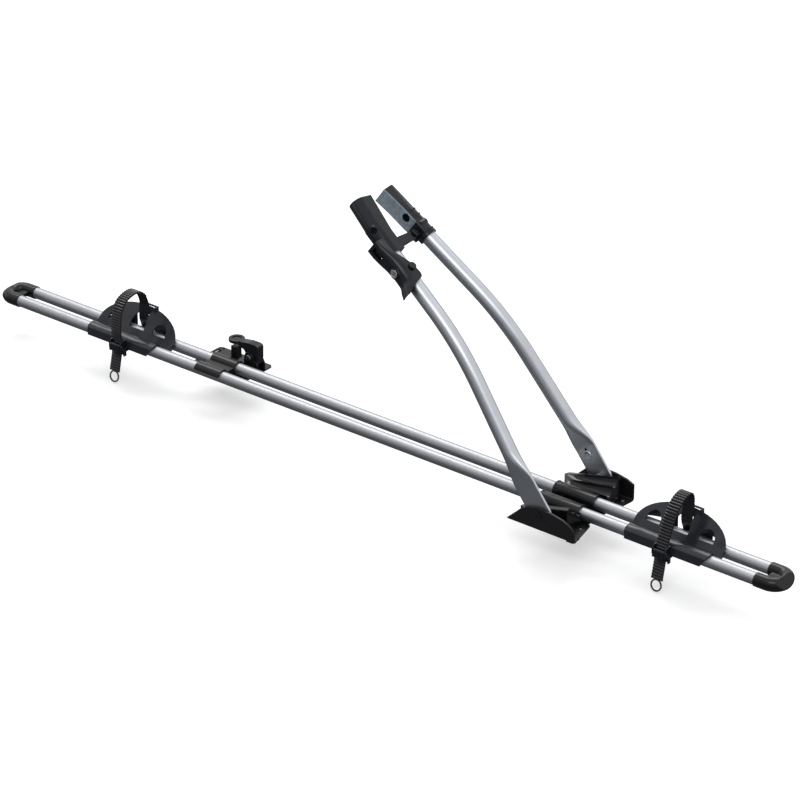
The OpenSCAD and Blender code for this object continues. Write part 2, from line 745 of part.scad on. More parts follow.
// Unit vector to the left of the line at a distance along it
function left_of(pts, run, s) = let (v = along(pts, run, s + 0.4) - along(pts, run, s - 0.4))
    [-v[1], v[0]] / norm(v);

// Band along a route in Y and Z, with ratchet teeth on its left side up to a distance
module toothed_band_2d(route, toothed) {
    pts = curve(route, 8);
    run = run_length(pts);
    total = run[len(run) - 1];
    teeth = floor(toothed / tooth_pitch);
    rest = floor((total - teeth * tooth_pitch) / 4);
    marks = concat([for (i = [0:teeth - 1], k = [[0, 1], [0.5, 1], [0.52, 0], [0.98, 0]])
            [(i + k[0]) * tooth_pitch, k[1] * tooth_h]],
        [for (i = [0:rest]) [teeth * tooth_pitch
            + i * (total - teeth * tooth_pitch) / rest, 0]]);
    inner = floor(total / 4);
    polygon(concat(
        [for (m = marks) let (s = min(max(m[0], 0.5), total - 0.5))
            along(pts, run, m[0])
                + left_of(pts, run, s) * (strap_base_t / 2 + m[1])],
        [for (i = [inner:-1:0]) let (m = i * total / inner, s = min(max(m, 0.5), total - 0.5))
            along(pts, run, m) - left_of(pts, run, s) * strap_base_t / 2]));
}

// The last stretch of both straps: under the far tube, under the near one, to the buckle
strap_under = [[25.9, -8.2], [18.3, -11.2], [6, -12], [-18, -12], [-30.4, -12]];
front_strap_route = concat([[-44, -42], [-39.4, -22], [-35.6, -5], [buckle_y, 6], [-30, 18],
    [-21.6, 35], [-12, 52], [0, 64.4], [12, 69], [22, 68], [26.6, 59], [26.4, 42], [24, 27],
    [25.4, 16], [28.6, 7.6], [29.6, -1]], strap_under);
rear_strap_route = concat([[-44, -42], [-39.4, -22], [-35.6, -5], [buckle_y - 0.6, 6],
    [-37.4, 22], [-36, 43], [-33, 56], [-24, 69], [-7, 75], [7, 74.2], [19, 65], [26, 49],
    [25.4, 33], [25, 20], [28.4, 9], [29.6, -1]], strap_under);

// Ratchet strap with an eye at the end of its tail
module strap(route, toothed) {
    color("#151617") {
        cross_view(strap_x - strap_w / 2, strap_w) toothed_band_2d(route, toothed);
        translate([strap_x, route[0][0], route[0][1]]) rotate([-12, 0, 0])
            translate([0, 0, -8.4]) difference() {
                bar_y(strap_w / 2, -0.9, 0.9);
                bar_y(7, -2, 2);
            }
    }
}

// Buckle housing: back plate and two cheeks round the strap
module buckle() {
    color("#141516") translate([strap_x, 0, 0]) difference() {
        union() {
            translate([-11.4, -30.6, -18]) cube([22.8, 1.6, 27]);
            for (x = [-11.4, 9.9]) cross_view(x, 1.5)
                polygon([[-29, -18], [-34.6, -18], [-37, -8], [-43.4, -4.6], [-43.4, 3.4],
                    [-40, 7], [-36, 9], [-29, 9]]);
        }
        translate([0, buckle_pin_y, buckle_pin_z]) bar_x(1.5 + seat_gap, -20, 20);
        translate([-strap_w / 2 - seat_gap, -31, -12 - strap_base_t / 2 - seat_gap])
            cube([strap_w + 2 * seat_gap, 3, strap_base_t + 2 * seat_gap]);
    }
}

module buckle_pin() {
    color("#8d9094") translate([strap_x, buckle_pin_y, buckle_pin_z]) bar_x(1.5, -12, 12);
}

// Release lever of the buckle, whose tooth rests in the strap
module buckle_lever() {
    color("#1a1b1d") translate([strap_x, 0, 0]) difference() {
        cross_view(-9.7, 19.4) polygon([[-38.2, -1], [-38, 1.6], [-39, 3.4], [-41.4, 4],
            [-43.8, 2.6], [-44.4, -3], [-45.6, -7.4], [-44.2, -8], [-42.4, -5], [-40.4, -2.6]]);
        translate([0, buckle_pin_y, buckle_pin_z]) bar_x(1.5 + run_gap, -20, 20);
    }
}

module at_tray(x) {
    translate([x, 0, rail_z]) children();
}

// Rear saddle: half shells over the tubes, joined between them
module rear_saddle() {
    x0 = rear_foot_x - 30.7;
    len = 48;
    color("#2b2c30") difference() {
        translate([0, 0, rail_z]) union() {
            for (y = [-rail_y, rail_y]) translate([0, y, 0]) bar_x(saddle_r, x0, x0 + len);
            translate([x0, -10, -12]) cube([len, 20, 17]);
            translate([x0, rail_y, -12]) cube([len, 14.5, 5]);
        }
        rail_space(rail_r + slide_gap, x0 - 1, x0 + len + 1);
        translate([x0 - 1, -rail_y - 14, rail_z - 14]) cube([len + 2, 22, 17]);
        translate([x0 - 1, -60, rail_z - 20]) cube([len + 2, 120, 8]);
    }
}

// Steel plate that carries the rear saddle and reaches out under the clamp lever
module rear_plate() {
    color("#242528") translate([0, 0, rail_z - 14.5]) linear_extrude(2.5) difference() {
        translate([rear_foot_x - 69.7, 11]) round_rect(105, 66, 6);
        translate([rear_foot_x - 63.5, 62]) intersection() {
            circle(r = 6);
            translate([-3, -7]) square(14);
        }
        translate([rear_foot_x - 60.3, 72.4]) circle(r = 2.2);
        translate([clamp_x - hook_back, 50]) circle(r = 4);
    }
}

module rear_bar_pad() {
    h = rail_z - 14.5;
    color("#101112") difference() {
        translate([rear_foot_x - 66, 13, 0]) cube([60, 61, h]);
        translate([clamp_x - hook_back, 50, -1]) cylinder(r = 5, h = h + 2);
    }
}

// Two ears on the rear plate that hold the clamp lever
module clamp_bracket() {
    color("#242528") translate([clamp_x, 0, rail_z]) difference() {
        for (y = [40.6, 57]) side_view(y, 2.4) {
            polygon([[-12, -12], [17, -12], [17, 0], [14, 6], [-9, 9.7]]);
            translate([0, 9.7]) circle(r = 9);
        }
        translate([0, 0, 9.7]) bar_y(3.0 + seat_gap, 30, 70);
    }
}

module clamp_pin() {
    color("#8d9094") translate([clamp_x, 0, rail_z + 9.7]) {
        bar_y(3, 39, 61);
        bar_y(4.8, 59.4, 61.6);
        bar_y(4.8, 38.4, 40.6);
    }
}

// Cam lever of the rear clamp: flat body, hollow under its back, and a thumb rest
module clamp_lever() {
    color("#1b1c1e") translate([clamp_x, 50, rail_z]) difference() {
        union() {
            side_view(-6.8, 13.6) polygon([[-23, 23.3], [-23, 28], [-21, 29.7], [-3, 32.6],
                [10.9, 32.8], [14.6, 31.4], [16, 28.5], [15.7, 13], [15, 2], [11, -3],
                [4, -5.4], [-3, -4.4], [-7, 1], [-6.4, 8.6], [-11.2, 18.6]]);
            translate([-31.4, 0, 25.8]) cylinder(r = 12.5, h = 4.4);
        }
        translate([-31.4, 0, 29]) cylinder(r = 8, h = 3);
        translate([0, 0, 9.7]) bar_y(3 + run_gap, -20, 20);
        side_view(-4.2, 8.4) polygon([[-16, 19.4], [-2, 28.6], [8.6, 28.8], [11.8, 26],
            [11.8, 17], [-2, 17], [-8.4, 10.8]]);
    }
}

// Hook that the cam lever draws up under the roof bar
module clamp_hook() {
    r = 3.4;
    bend = 8;
    low = -44;
    reach = 40;
    color("#3a3b3f") translate([clamp_x - hook_back, 50, rail_z]) {
        translate([0, 0, low + bend]) cylinder(r = r, h = -low - bend);
        translate([-bend, 0, low + bend]) rotate([90, 90, 0])
            rotate_extrude(angle = 90) translate([bend, 0]) circle(r = r);
        translate([0, 0, low]) bar_x(r, bend - reach, -bend);
        translate([bend - reach, 0, low + bend]) rotate([90, 180, 0])
            rotate_extrude(angle = 90) translate([bend, 0]) circle(r = r);
        translate([-reach, 0, low + bend]) cylinder(r = r, h = 6);
        translate([-5.5, -6, -3.6]) cube([11, 12, 21]);
    }
}

rail(-1);  // rail_near
rail(1);  // rail_far
cap_at(1);  // end_cap_front
cap_at(-1);  // end_cap_rear
front_foot_plate();
front_saddle();
gusset(-1);  // gusset_near
gusset(1);  // gusset_far
foot_rivets();
front_bar_pad();
pivot_bolt(-1);  // pivot_bolt_near
pivot_bolt(1);  // pivot_bolt_far
pivot_nut(-1);  // pivot_nut_near
pivot_nut(1);  // pivot_nut_far
arm(-1);  // arm_near
jaw_near();
pad_near();
jaw_screw(-1);  // jaw_screw_near
lever_pin();
arm(1);  // arm_far
jaw_far();
pad_far();
jaw_screw(1);  // jaw_screw_far
rack_pin();
clamp_rack();
tension_lever();
lever_pawl();
lock_ring();
lock_core();
at_tray(front_tray_x) wheel_tray(66);  // front_tray
at_tray(front_tray_x) strap(front_strap_route, 150);  // front_strap
at_tray(front_tray_x) buckle();  // front_buckle
at_tray(front_tray_x) buckle_pin();  // front_buckle_pin
at_tray(front_tray_x) buckle_lever();  // front_buckle_lever
at_tray(rear_tray_x) wheel_tray(58);  // rear_tray
at_tray(rear_tray_x) strap(rear_strap_route, 150);  // rear_strap
at_tray(rear_tray_x) buckle();  // rear_buckle
at_tray(rear_tray_x) buckle_pin();  // rear_buckle_pin
at_tray(rear_tray_x) buckle_lever();  // rear_buckle_lever
rear_saddle();
rear_plate();
rear_bar_pad();
clamp_bracket();
clamp_pin();
clamp_lever();
clamp_hook();
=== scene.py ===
# %% [markdown]
# A roof mounted bike carrier, dressed for its photograph.
# The CAD model is the frame. It has every body, joint and size, and this script never moves it.
# Here the parts get what a camera sees: pressed and bent tube, moulded edges, toothed straps,
# grain and satin. Every new part below is a formula worked out on a grid with numpy, and
# plainer CAD parts get softened copies.

import bmesh
import bpy
import json
import math
import numpy as np
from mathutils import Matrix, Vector

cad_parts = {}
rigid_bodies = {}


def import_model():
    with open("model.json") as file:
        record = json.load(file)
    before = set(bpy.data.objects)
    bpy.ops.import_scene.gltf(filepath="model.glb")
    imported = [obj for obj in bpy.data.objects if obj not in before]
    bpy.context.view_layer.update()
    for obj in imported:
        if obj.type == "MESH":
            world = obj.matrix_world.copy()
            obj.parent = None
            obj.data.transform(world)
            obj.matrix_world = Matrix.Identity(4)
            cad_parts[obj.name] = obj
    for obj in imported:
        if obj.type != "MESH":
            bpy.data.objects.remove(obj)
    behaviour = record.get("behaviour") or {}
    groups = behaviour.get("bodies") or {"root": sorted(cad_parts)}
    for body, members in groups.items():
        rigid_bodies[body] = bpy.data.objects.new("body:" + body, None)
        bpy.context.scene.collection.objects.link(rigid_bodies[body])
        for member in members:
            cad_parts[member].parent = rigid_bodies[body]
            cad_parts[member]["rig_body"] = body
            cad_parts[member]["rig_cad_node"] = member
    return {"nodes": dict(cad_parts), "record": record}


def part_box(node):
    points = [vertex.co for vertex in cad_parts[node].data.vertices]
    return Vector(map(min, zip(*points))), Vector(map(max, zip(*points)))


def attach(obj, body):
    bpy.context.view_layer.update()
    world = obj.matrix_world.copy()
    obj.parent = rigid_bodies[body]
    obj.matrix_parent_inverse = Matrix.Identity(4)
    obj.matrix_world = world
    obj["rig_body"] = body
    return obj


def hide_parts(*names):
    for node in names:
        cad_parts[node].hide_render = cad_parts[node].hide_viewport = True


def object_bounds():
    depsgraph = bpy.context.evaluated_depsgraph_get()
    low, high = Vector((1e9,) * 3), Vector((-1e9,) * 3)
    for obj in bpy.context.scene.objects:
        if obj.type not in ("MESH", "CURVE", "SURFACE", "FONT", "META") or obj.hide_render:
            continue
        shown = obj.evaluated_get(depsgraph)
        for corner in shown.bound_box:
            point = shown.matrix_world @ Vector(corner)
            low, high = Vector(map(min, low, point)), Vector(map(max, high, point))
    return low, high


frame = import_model()
cad_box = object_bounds()
NODES = frame["nodes"]
MM = 0.001

# %% [markdown]
# The photograph was taken with a long lens from the front left, a little above the roof.
# A long lens keeps parallel tubes almost parallel. The camera looks at the middle of the
# picture from a compass angle and a height angle, so both can be read straight off.

# %% Camera
PHOTO_SIZE = 800
FOCAL_PX = 4033
AZIMUTH, ELEVATION = math.radians(38.88), math.radians(27.36)
TARGET = Vector((-312.4, 0, 76.5)) * MM
DISTANCE = 5.857

back = Vector((math.sin(AZIMUTH) * math.cos(ELEVATION),
               -math.cos(AZIMUTH) * math.cos(ELEVATION), math.sin(ELEVATION)))
camera_data = bpy.data.cameras.new("camera")
camera_data.sensor_width = 36
camera_data.lens = FOCAL_PX * camera_data.sensor_width / PHOTO_SIZE
camera_data.clip_end = 50
camera = bpy.data.objects.new("camera", camera_data)
camera.location = TARGET + back * DISTANCE
camera.rotation_euler = back.to_track_quat("Z", "Y").to_euler()
bpy.context.scene.collection.objects.link(camera)
bpy.context.scene.camera = camera
bpy.context.scene.view_settings.view_transform = "Standard"
print("lens", round(camera_data.lens, 1), "mm")

# %% [markdown]
# The finishes. Each is one Principled shader. Noise on Object coordinates breaks up its colour
# and roughness and feeds a fine bump, so the grain keeps its real size on every part.
# The grain of anodised tube is about a third of a millimetre, and that of the mouldings is
# a little coarser.

# %% Finish builder
EDGE_TINT = 0.55
SINK_SCALE = 24


def finish(name, colour, roughness, metallic=0.0, grain=3000.0, bump=0.04, mottle=0.12,
           rough_spread=0.06, specular=0.5, cloud=60.0, wave=0.0):
    """A Principled finish. Colour = colour x (1 - mottle .. 1 + mottle) by a cloudy noise,
    roughness = roughness +- rough_spread by the fine noise, and height = the fine noise.
    A wave above 0 is the depth in millimetres of the broad sink marks of a moulded wall."""
    material = bpy.data.materials.new(name)
    material.use_nodes = True
    nodes, links = material.node_tree.nodes, material.node_tree.links
    shader = nodes["Principled BSDF"]
    shader.inputs["Metallic"].default_value = metallic
    shader.inputs["Specular IOR Level"].default_value = specular
    if metallic == 1:
        shader.inputs["Specular Tint"].default_value = (EDGE_TINT, EDGE_TINT, EDGE_TINT, 1)
    where = nodes.new("ShaderNodeTexCoord")
    fine = nodes.new("ShaderNodeTexNoise")
    fine.inputs["Scale"].default_value = grain
    fine.inputs["Detail"].default_value = 3
    clouds = nodes.new("ShaderNodeTexNoise")
    clouds.inputs["Scale"].default_value = cloud
    clouds.inputs["Detail"].default_value = 4
    links.new(where.outputs["Object"], fine.inputs["Vector"])
    links.new(where.outputs["Object"], clouds.inputs["Vector"])
    tone = nodes.new("ShaderNodeValToRGB")
    tone.color_ramp.elements[0].position = 0.3
    tone.color_ramp.elements[1].position = 0.7
    for element, share in zip(tone.color_ramp.elements, (1 - mottle, 1 + mottle)):
        element.color = [min(c * share, 1) for c in colour] + [1]
    links.new(clouds.outputs["Fac"], tone.inputs["Fac"])
    links.new(tone.outputs["Color"], shader.inputs["Base Color"])
    gloss = nodes.new("ShaderNodeMapRange")
    gloss.inputs["From Min"].default_value = 0.35
    gloss.inputs["From Max"].default_value = 0.65
    gloss.inputs["To Min"].default_value = max(roughness - rough_spread, 0.03)
    gloss.inputs["To Max"].default_value = roughness + rough_spread
    links.new(fine.outputs["Fac"], gloss.inputs["Value"])
    links.new(gloss.outputs["Result"], shader.inputs["Roughness"])
    height = nodes.new("ShaderNodeBump")
    height.inputs["Strength"].default_value = bump
    height.inputs["Distance"].default_value = 0.2 * MM
    links.new(fine.outputs["Fac"], height.inputs["Height"])
    links.new(height.outputs["Normal"], shader.inputs["Normal"])
    if wave:
        broad = nodes.new("ShaderNodeTexNoise")
        broad.inputs["Scale"].default_value = SINK_SCALE
        broad.inputs["Detail"].default_value = 1
        links.new(where.outputs["Object"], broad.inputs["Vector"])
        sink = nodes.new("ShaderNodeBump")
        sink.inputs["Distance"].default_value = wave * MM
        links.new(broad.outputs["Fac"], sink.inputs["Height"])
        links.new(sink.outputs["Normal"], height.inputs["Normal"])
    return material


# %% The finishes of this carrier
FINISH = {
    "tube": finish("anodised_tube", (0.41, 0.42, 0.44), 0.47, 1.0, 2600, 0.05, 0.03, 0.05),
    "arm_tube": finish("anodised_arm", (0.53, 0.555, 0.59), 0.39, 1.0, 2600, 0.05, 0.03, 0.05),
    "plate_black": finish("powder_coat", (0.009, 0.009, 0.01), 0.4, 0.0, 1500, 0.16, 0.1,
                          specular=0.3),
    "mould_black": finish("moulded_black", (0.008, 0.0095, 0.0135), 0.25, 0.0, 2200, 0.05, 0.12,
                          specular=0.3),
    "rubber_black": finish("black_rubber", (0.009, 0.009, 0.009), 0.6, 0.0, 1800, 0.2, 0.2,
                           specular=0.25),
    "pad_grey": finish("grey_pad", (0.22, 0.27, 0.31), 0.55, 0.0, 900, 0.35, 0.3, 0.1, 0.4, 260),
    "strap_black": finish("strap_plastic", (0.009, 0.009, 0.011), 0.2, 0.0, 2000, 0.06, 0.15,
                          specular=0.5),
    "steel": finish("zinc_steel", (0.42, 0.43, 0.45), 0.3, 1.0, 2400, 0.06, 0.08),
    "chrome_lock": finish("chrome", (0.86, 0.87, 0.88), 0.14, 1.0, 2400, 0.02, 0.03, 0.03),
    "bolt_black": finish("black_oxide", (0.012, 0.012, 0.014), 0.36, 0.2, 2200, 0.08, 0.15,
                         specular=0.3),
    "sleeve": finish("sleeve_black", (0.006, 0.0058, 0.0068), 0.25, 0.0, 2000, 0.1, 0.14,
                     specular=0.34),
    "gusset": finish("gusset_black", (0.005, 0.005, 0.006), 0.15, 0.0, 2000, 0.04, 0.14,
                     rough_spread=0.03, specular=0.45),
    "tray": finish("tray_moulding", (0.015, 0.0175, 0.024), 0.25, 0.0, 2000, 0.1, 0.14,
                   specular=0.44, wave=3.5),
    # Near black with almost no sheen: painted shade for recesses and holes. It darkens the jaw
    # screws in their shallow sockets, the far blade's drain hole and the walls inside the
    # lever's slot.
    "painted_shade": finish("painted_shade_black", (0.004, 0.004, 0.004), 0.5, 0.0, 2000, 0.1, 0.1,
                     specular=0.1),
}
SLOT_OF = {row["node"]: row["material_slot"] for row in frame["record"]["subparts"]}
BODY_OF = {node: body for body, members in frame["record"]["behaviour"]["bodies"].items()
           for node in members}
# The jaw screws are painted near black, as the shade of their shallow sockets.
FINISH_OF = dict(SLOT_OF, front_tray="tray", rear_tray="tray", gusset_near="gusset",
                 gusset_far="gusset", front_saddle="sleeve", rear_saddle="sleeve",
                 end_cap_front="sleeve", end_cap_rear="sleeve", jaw_screw_near="painted_shade",
                 jaw_screw_far="painted_shade", rack_pin="bolt_black")
for node, cad_part in NODES.items():
    cad_part.data.materials.clear()
    cad_part.data.materials.append(FINISH[FINISH_OF[node]])
print("finished", len(NODES), "nodes with", len(FINISH), "materials")

# %% [markdown]
# Three helpers put a formula's points into a mesh. `piece` makes the object, says which body it
# rides on and hides the CAD node it stands for. `loft` joins a stack of closed rings,
# and `shell` gives a patch two skins and closes every open edge, the edges of holes too.

# %% Mesh helpers
def piece(name, points, faces, node, stands_for=True, coat=None, smooth_deg=35):
    """An object from points in millimetres, smooth wherever faces meet at under smooth_deg."""
    mesh = bpy.data.meshes.new(name)
    mesh.from_pydata((np.asarray(points, float).reshape(-1, 3) * MM).tolist(), [], faces)
    mesh.validate()
    made = bpy.data.objects.new(name, mesh)
    bpy.context.scene.collection.objects.link(made)
    mesh.materials.append(FINISH[coat or FINISH_OF[node]])
    mesh.shade_smooth()
    mesh.set_sharp_from_angle(angle=math.radians(smooth_deg))
    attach(made, BODY_OF[node])
    if stands_for:
        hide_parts(node)
    return made


def loft(rings, caps=(True, True)):
    """Quads between ring k and ring k + 1, point i to point i + 1, and a face over each end.
    Rings turn anticlockwise when seen from the far end, so that faces point outwards."""
    rings = np.asarray(rings, float)
    count, around = rings.shape[:2]
    k, i = np.meshgrid(np.arange(count - 1), np.arange(around), indexing="ij")
    j = (i + 1) % around
    quads = np.stack([k * around + i, k * around + j,
                      (k + 1) * around + j, (k + 1) * around + i], -1).reshape(-1, 4)
    faces = quads.tolist()
    if caps[0]:
        faces.append(list(range(around))[::-1])
    if caps[1]:
        faces.append([(count - 1) * around + i for i in range(around)])
    return rings.reshape(-1, 3), faces


def shell(outer, inner, keep=None):
    """Two skins with the same grid, outer and inner, where keep says which squares are there.
    A square's edge that has no square beyond it gets a wall between the skins."""
    outer, inner = np.asarray(outer, float), np.asarray(inner, float)
    rows, columns = outer.shape[:2]
    keep = np.ones((rows - 1, columns - 1), bool) if keep is None else keep
    below = rows * columns
    r, c = np.nonzero(keep)
    a, b = r * columns + c, r * columns + c + 1
    d, e = a + columns, b + columns
    faces = [np.stack([a, b, e, d], 1), np.stack([a, d, e, b], 1) + below]
    padded = np.pad(keep, 1)
    for step, one, two in (((-1, 0), a, b), ((1, 0), e, d), ((0, -1), d, a), ((0, 1), b, e)):
        bare = ~padded[r + 1 + step[0], c + 1 + step[1]]
        one, two = one[bare], two[bare]
        faces.append(np.stack([two, one, one + below, two + below], 1))
    points = np.concatenate([outer.reshape(-1, 3), inner.reshape(-1, 3)])
    return points, np.concatenate(faces).tolist()


# %% [markdown]
# Moulded and pressed parts have no knife edges. A copy of the CAD node is merged and gets a
# small bevel on its sharp edges, which catches the light as a real edge does. This keeps the
# CAD part's exact form, and is enough where a part is made of plain planes and bores.

# %% Softened copies of CAD nodes
def soften(node, width, segments=2, angle=32):
    """Copy of a CAD node with its doubles merged, its curves smooth and its edges bevelled."""
    made = NODES[node].copy()
    made.data = NODES[node].data.copy()
    made.name = "soft_" + node
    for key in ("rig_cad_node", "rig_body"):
        if key in made:
            del made[key]
    made.parent = None
    bpy.context.scene.collection.objects.link(made)
    merged = bmesh.new()
    merged.from_mesh(made.data)
    bmesh.ops.remove_doubles(merged, verts=merged.verts, dist=0.02 * MM)
    bmesh.ops.dissolve_limit(merged, angle_limit=math.radians(0.5), verts=merged.verts,
                             edges=merged.edges)
    merged.to_mesh(made.data)
    merged.free()
    made.data.shade_smooth()
    made.data.set_sharp_from_angle(angle=math.radians(angle))
    bevel = made.modifiers.new("edges", "BEVEL")
    bevel.width = width * MM
    bevel.segments = segments
    bevel.limit_method = "ANGLE"
    bevel.angle_limit = math.radians(angle)
    bevel.use_clamp_overlap = True
    bevel.harden_normals = True
    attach(made, BODY_OF[node])
    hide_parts(node)
    return made


SOFT_EDGES = {
    "front_foot_plate": 0.7, "front_saddle": 0.7, "front_bar_pad": 0.6, "jaw_near": 0.9,
    "jaw_far": 0.8, "pad_near": 0.6, "pad_far": 0.6, "clamp_rack": 0.5, "front_tray": 0.8,
    "rear_tray": 0.8, "rear_saddle": 0.8, "rear_plate": 0.5, "rear_bar_pad": 0.4,
    "clamp_bracket": 0.5, "clamp_lever": 1.1, "front_buckle": 0.4, "rear_buckle": 0.4,
    "front_buckle_lever": 0.4, "rear_buckle_lever": 0.4, "pivot_bolt_near": 0.4,
    "pivot_bolt_far": 0.4, "pivot_nut_near": 0.4, "pivot_nut_far": 0.4, "lock_ring": 0.3,
    "lock_core": 0.2, "lever_pin": 0.6, "jaw_screw_near": 0.3, "jaw_screw_far": 0.3,
    "rack_pin": 0.3, "clamp_pin": 0.4, "foot_rivets": 0.4, "clamp_hook": 0.5,
}
for node, width in SOFT_EDGES.items():
    soften(node, width)
print("softened", len(SOFT_EDGES), "nodes")

# %% [markdown]
# The two long tubes are drawn aluminium with a fine satin finish. A tube is a ring carried
# along a line. The ring has 96 points here, so no facet shows along its edge.

# %% Long tubes
TUBE_WALL, CUT_EDGE, SEEN_DEPTH, TUBE_STATIONS = 1.5, 0.3, 20, 99


def ring_angles(count):
    """Equal steps round a circle."""
    return np.arange(count) * 2 * math.pi / count


def tube_rings(stations, radius, count=96):
    """Rings across X: (x, radius x cos a, radius x sin a) at each x."""
    a = ring_angles(count)
    x = np.asarray(stations, float)[:, None]
    return np.stack([x + 0 * a, radius * np.cos(a) + 0 * x, radius * np.sin(a) + 0 * x], -1)


def long_tube(node):
    """Outer and inner wall of a tube, rounded at its cut ends by a ring set back."""
    low, high = [np.array(corner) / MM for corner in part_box(node)]
    centre = (low + high) / 2
    radius = (high[2] - low[2]) / 2
    bore = radius - TUBE_WALL
    between = np.linspace(low[0] + CUT_EDGE, high[0] - CUT_EDGE, TUBE_STATIONS).tolist()
    x = ([low[0] + SEEN_DEPTH, low[0] + CUT_EDGE, low[0], low[0]] + between
         + [high[0], high[0], high[0] - CUT_EDGE, high[0] - SEEN_DEPTH])
    r = ([bore, bore, bore + CUT_EDGE, radius - CUT_EDGE] + [radius] * TUBE_STATIONS
         + [radius - CUT_EDGE, bore + CUT_EDGE, bore, bore])
    rings = np.concatenate([tube_rings([at], size) for at, size in zip(x, r)])
    rings[:, :, 1] += centre[1]
    rings[:, :, 2] += centre[2]
    points, faces = loft(rings, caps=(False, False))
    return piece("long_" + node, points, faces, node)


for node in ("rail_near", "rail_far"):
    long_tube(node)

# %% [markdown]
# The frames of the arms. Each arm stands on its pivot, leans in at a crease above the foot,
# and bends once. A frame is a 4 x 4 matrix, and frames chain by multiplication, so a piece
# can be written in the plain coordinates of the arm and put in place in one step.

# %% Arm frames
ARM_Y, PIVOT_Z = 71.5, 26.0
LOW_ANGLE, UP_ANGLE, LEAN = math.radians(52.06), math.radians(36.3), math.radians(4.94)
LOW_LEN, UP_LEN, BEND_R, CREASE = 265.6, 256.0, 455.0, 48.0
BEND = LOW_ANGLE - UP_ANGLE


def moved(x, y, z):
    m = np.eye(4)
    m[:3, 3] = x, y, z
    return m


def turned(axis, angle):
    """Rotation about X, Y or Z (0, 1, 2) by the right hand rule."""
    m = np.eye(4)
    i, j = (axis + 1) % 3, (axis + 2) % 3
    m[i, i] = m[j, j] = math.cos(angle)
    m[i, j], m[j, i] = -math.sin(angle), math.sin(angle)
    return m


def arm_foot(side):
    """+X up along the blade, +Z on its upper side, +Y to the near side."""
    return moved(0, side * ARM_Y, PIVOT_Z) @ turned(2, math.pi) @ turned(1, -LOW_ANGLE)


def arm_leaned(side):
    return (arm_foot(side) @ moved(CREASE, 0, 0) @ turned(2, side * LEAN)
            @ moved(-CREASE, 0, 0))


def arm_head(side):
    """At the jaw's tip: -X down along the arm, +Y away from the middle plane."""
    mirror = np.diag([1.0, -1.0 if side > 0 else 1.0, 1.0, 1.0])
    return (arm_leaned(side) @ moved(LOW_LEN, 0, 0) @ turned(1, BEND)
            @ moved(UP_LEN, 0, 0) @ mirror)


def placed(matrix, points):
    """Points in a frame, as points of the carrier."""
    points = np.asarray(points, float)
    return points @ matrix[:3, :3].T + matrix[:3, 3]


print("near jaw tip", np.round(placed(arm_head(-1), [0, 0, 0]), 1))

# %% [markdown]
# An arm is one tube, 23 mm across. Its foot is pressed flat into a blade, its middle is
# bent, and its head is necked inside the jaw. The section is a superellipse: with power 1
# it is a circle, and as the power falls its corners fill out to the blade's flat sides.

# %% Arms
TUBE_R, BLADE_W, BLADE_T, ROUND_FROM = 11.5, 38.0, 4.5, 100.0
NECK_S, NECK_R, TUBE_END_S = 71.0, 8.0, 40.0
BLADE_POWER = 0.3


def ease(t):
    """Smooth step from 0 to 1: (1 - cos(180 t)) / 2."""
    return (1 - np.cos(np.pi * np.clip(t, 0, 1))) / 2


def signed_power(value, power):
    return np.sign(value) * np.abs(value) ** power


def section(half_w, half_t, power, a):
    """Superellipse: (half_t x cos a ^ power, half_w x sin a ^ power)."""
    return np.stack([half_t * signed_power(np.cos(a), power),
                     half_w * signed_power(np.sin(a), power)], -1)


def arm(side):
    """Rings up the arm. Blade: round end by the circle's chord at x, then flat. Press: sizes
    and power eased over 52 mm. Tube: a circle carried up, round the bend, and up again."""
    a = ring_angles(96)
    rings = []
    half = BLADE_W / 2
    for x in np.concatenate([-half * np.cos(np.linspace(0.12, math.pi / 2, 14)),
                             np.linspace(4, CREASE - 0.5, 8)]):
        width = math.sqrt(max(half ** 2 - min(x, 0) ** 2, 1))
        yz = section(width, BLADE_T / 2, BLADE_POWER, a)
        ring = np.column_stack([np.full(len(a), x), yz])
        rings.append(placed(arm_foot(side), ring))
    for f in np.linspace(0, 1, 27):
        power = BLADE_POWER + (1 - BLADE_POWER) * ease(f ** 0.7)
        yz = section(half + (TUBE_R - half) * ease(f),
                     BLADE_T / 2 + (TUBE_R - BLADE_T / 2) * ease(f ** 0.8), power, a)
        x = CREASE - 0.5 + f * (ROUND_FROM - CREASE + 0.5)
        rings.append(placed(arm_leaned(side), np.column_stack([np.full(len(a), x), yz])))
    tangent = BEND_R * math.tan(BEND / 2)
    up = UP_LEN - tangent
    path = [(0, TUBE_R, s) for s in np.linspace(-60, 0, 5)]
    path += [(BEND * k / 24, TUBE_R, 0) for k in range(1, 25)]
    path += [(BEND, r, s) for r, s in ((TUBE_R, up / 2), (TUBE_R, up - NECK_S - 2),
                                       (NECK_R, up - NECK_S), (NECK_R, up - TUBE_END_S - 0.6),
                                       (NECK_R - 0.6, up - TUBE_END_S))]
    for angle, r, s in path:
        x = LOW_LEN - tangent + BEND_R * math.sin(angle) + s * math.cos(angle)
        z = BEND_R * (math.cos(angle) - 1) - s * math.sin(angle)
        ring = np.stack([x + r * np.sin(a) * math.sin(angle), r * np.cos(a),
                         z + r * np.sin(a) * math.cos(angle)], -1)
        rings.append(placed(arm_leaned(side), ring))
    points, faces = loft(rings)
    node = "arm_near" if side < 0 else "arm_far"
    return piece("bent_" + node, points, faces, node, smooth_deg=50)


for side in (-1, 1):
    arm(side)
print("arms", round(LOW_LEN + UP_LEN), "mm long up to the jaw tips")

# %% [markdown]
# The far blade has a pressed dimple beside a small drain hole, on the side that faces in.
# The dimple is a turned profile: a low rim that falls to a shallow dish. The drain hole
# is a thin near-black disc on the blade, painted shade that stands in for the hole's inside.

